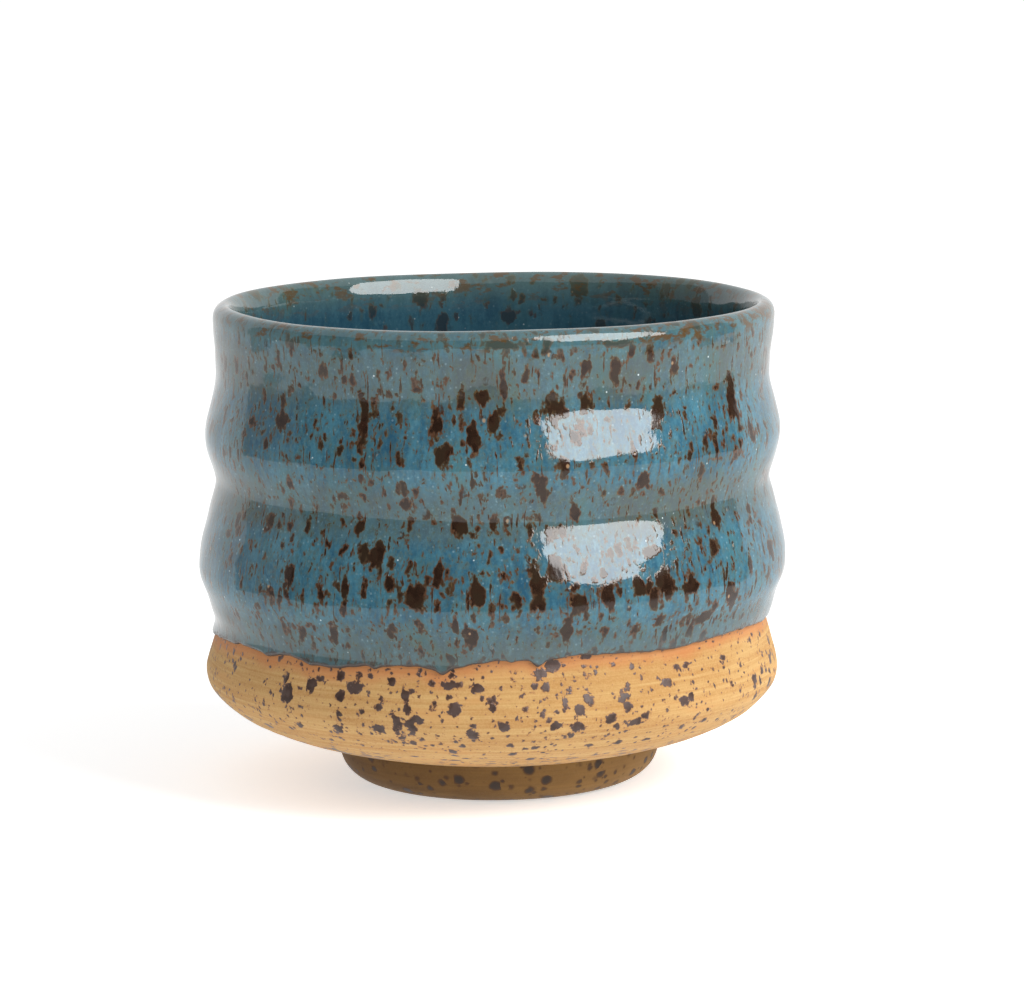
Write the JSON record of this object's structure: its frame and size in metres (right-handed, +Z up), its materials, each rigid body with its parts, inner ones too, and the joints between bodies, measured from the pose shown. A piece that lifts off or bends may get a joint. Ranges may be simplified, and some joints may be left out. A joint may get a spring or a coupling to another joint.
{
  "type": "matcha bowl",
  "caption": "Handmade stoneware matcha bowl with thrown swellings, glaze over a bare clay belly, rounded lip and low foot ring.",
  "frame": {"origin": "centre of the foot ring's flat land, on the axis of the bowl", "axes": "+Z up along the axis of the bowl, out of its mouth; -Y faces the viewer"},
  "size_m": [0.1082, 0.1082, 0.0887],
  "materials": {
    "bare_clay": "unglazed golden tan stoneware with dark iron spots, turning lines and a warm flash under the glaze line",
    "foot_clay": "unglazed olive brown stoneware with blurred iron spots",
    "blue_glaze": "glossy mottled blue glaze with rust brown iron streaks, broken to olive brown on the lip",
    "liner_glaze": "glossy mottled blue glaze with brown iron spots"
  },
  "bodies": {
    "root": {"stoneware_body": "bare_clay", "foot_ring": "foot_clay", "outer_glaze": "blue_glaze", "inner_glaze": "liner_glaze"}
  },
  "joints": []
}
